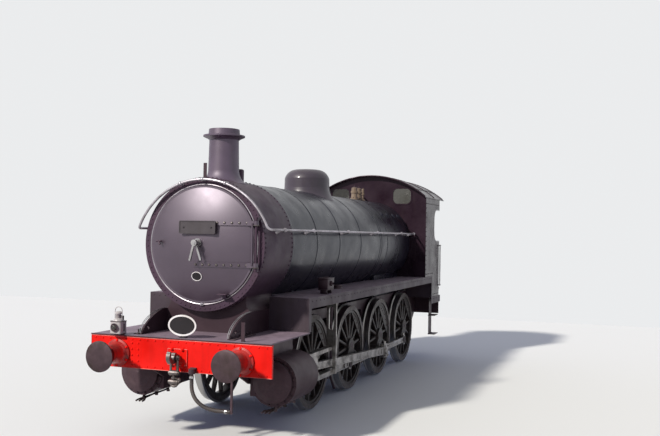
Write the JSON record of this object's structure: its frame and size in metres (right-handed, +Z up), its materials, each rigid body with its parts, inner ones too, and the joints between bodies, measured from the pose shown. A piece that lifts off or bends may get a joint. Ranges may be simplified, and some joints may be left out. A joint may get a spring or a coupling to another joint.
{
  "type": "steam locomotive",
  "caption": "Eight-coupled freight steam locomotive with outside cylinders, turning wheels, rods and an opening smokebox door.",
  "frame": {"origin": "on the floor below the middle of the overall length, midway between the wheels", "axes": "-Y towards the smokebox and front buffers, +X to the engine's left side, +Z up"},
  "size_m": [2.6, 10.07, 4.053],
  "materials": {
    "frame_black": "satin, oily",
    "smokebox_black": "matt",
    "boiler_black": "gloss",
    "signal_red": "gloss",
    "bare_steel": "oiled",
    "dark_steel": "greasy",
    "brass": "dull",
    "rubber_hose": "dusty",
    "lamp_black": "worn",
    "window_glass": "clear",
    "floor_wood": "worn boards"
  },
  "bodies": {
    "root": {"frame_plates": "frame_black", "frame_stretchers": "frame_black", "buffer_beam": "signal_red", "buffer_stocks": "signal_red", "buffer_heads": "dark_steel", "draw_hook": "dark_steel", "screw_coupling": "dark_steel", "brake_hose": "rubber_hose", "hose_brackets": "frame_black", "front_platform": "frame_black", "running_plate_left": "frame_black", "running_plate_right": "frame_black", "smokebox": "smokebox_black", "smokebox_ring": "smokebox_black", "saddle": "frame_black", "chimney": "smokebox_black", "blast_pipe": "dark_steel", "boiler_barrel": "boiler_black", "firebox": "boiler_black", "dome": "boiler_black", "safety_valves": "brass", "snifting_valve": "smokebox_black", "cab_front": "boiler_black", "cab_glass": "window_glass", "cab_side_left": "boiler_black", "cab_side_right": "boiler_black", "cab_roof": "boiler_black", "cab_floor": "floor_wood", "backhead_fittings": "brass", "handrails": "bare_steel", "ashpan": "frame_black", "cylinder_left": "frame_black", "cylinder_right": "frame_black", "slide_bars_left": "bare_steel", "slide_bars_right": "bare_steel", "axleboxes": "frame_black", "springs": "frame_black", "brake_gear": "frame_black", "sand_gear": "frame_black", "steps": "frame_black", "drag_beam": "frame_black", "lamp_irons": "frame_black", "headlamp": "lamp_black"},
    "smokebox_door": {"smokebox_door": "smokebox_black", "door_hinges": "smokebox_black", "door_dart": "smokebox_black"},
    "wheelset_1": {"wheels_1": "frame_black", "axle_1": "bare_steel"},
    "wheelset_2": {"wheels_2": "frame_black", "axle_2": "bare_steel"},
    "wheelset_3": {"wheels_3": "frame_black", "axle_3": "bare_steel"},
    "wheelset_4": {"wheels_4": "frame_black", "axle_4": "bare_steel"},
    "coupling_rods_left": {"coupling_rods_left": "bare_steel"},
    "coupling_rods_right": {"coupling_rods_right": "bare_steel"},
    "crosshead_left": {"crosshead_left": "bare_steel"},
    "crosshead_right": {"crosshead_right": "bare_steel"},
    "connecting_rod_left": {"connecting_rod_left": "bare_steel"},
    "connecting_rod_right": {"connecting_rod_right": "bare_steel"}
  },
  "joints": [
    {"name": "wheelset_3_spin", "type": "hinge", "parent": "root", "child": "wheelset_3", "pos_m": [0, 1.415, 0.7295], "axis": [1, 0, 0], "continuous": true},
    {"name": "wheelset_1_spin", "type": "hinge", "parent": "root", "child": "wheelset_1", "pos_m": [0, -2.065, 0.7295], "axis": [1, 0, 0], "continuous": true},
    {"name": "wheelset_2_spin", "type": "hinge", "parent": "root", "child": "wheelset_2", "pos_m": [0, -0.312, 0.7295], "axis": [1, 0, 0], "continuous": true},
    {"name": "wheelset_4_spin", "type": "hinge", "parent": "root", "child": "wheelset_4", "pos_m": [0, 3.168, 0.7295], "axis": [1, 0, 0], "continuous": true},
    {"name": "coupling_rods_left_pin", "type": "hinge", "parent": "wheelset_3", "child": "coupling_rods_left", "pos_m": [0.874, 1.18165, 0.49616], "axis": [1, 0, 0], "continuous": true},
    {"name": "crosshead_left_slide", "type": "slide", "parent": "root", "child": "crosshead_left", "axis": [0, 1, 0], "range_m": [-0.104, 0.556]},
    {"name": "connecting_rod_left_pin", "type": "hinge", "parent": "crosshead_left", "child": "connecting_rod_left", "pos_m": [0.98, -2.54104, 0.7295], "axis": [1, 0, 0], "range_deg": [-1.49, 8.66]},
    {"name": "coupling_rods_right_pin", "type": "hinge", "parent": "wheelset_3", "child": "coupling_rods_right", "pos_m": [-0.874, 1.64834, 0.49616], "axis": [1, 0, 0], "continuous": true},
    {"name": "crosshead_right_slide", "type": "slide", "parent": "root", "child": "crosshead_right", "axis": [0, 1, 0], "range_m": [-0.5707, 0.0893]},
    {"name": "connecting_rod_right_pin", "type": "hinge", "parent": "crosshead_right", "child": "connecting_rod_right", "pos_m": [-0.98, -2.07435, 0.7295], "axis": [1, 0, 0], "range_deg": [-1.49, 8.66]},
    {"name": "smokebox_door_hinge", "type": "hinge", "parent": "root", "child": "smokebox_door", "pos_m": [0.79, -4.085, 2.478], "axis": [0, 0, 1], "range_deg": [0, 125]}
  ],
  "couplings": [
    {"joint": "wheelset_1_spin", "follows": "wheelset_3_spin", "ratio": 1},
    {"joint": "wheelset_2_spin", "follows": "wheelset_3_spin", "ratio": 1},
    {"joint": "wheelset_4_spin", "follows": "wheelset_3_spin", "ratio": 1},
    {"joint": "coupling_rods_left_pin", "follows": "wheelset_3_spin", "ratio": -1},
    {"joint": "coupling_rods_right_pin", "follows": "wheelset_3_spin", "ratio": -1}
  ]
}
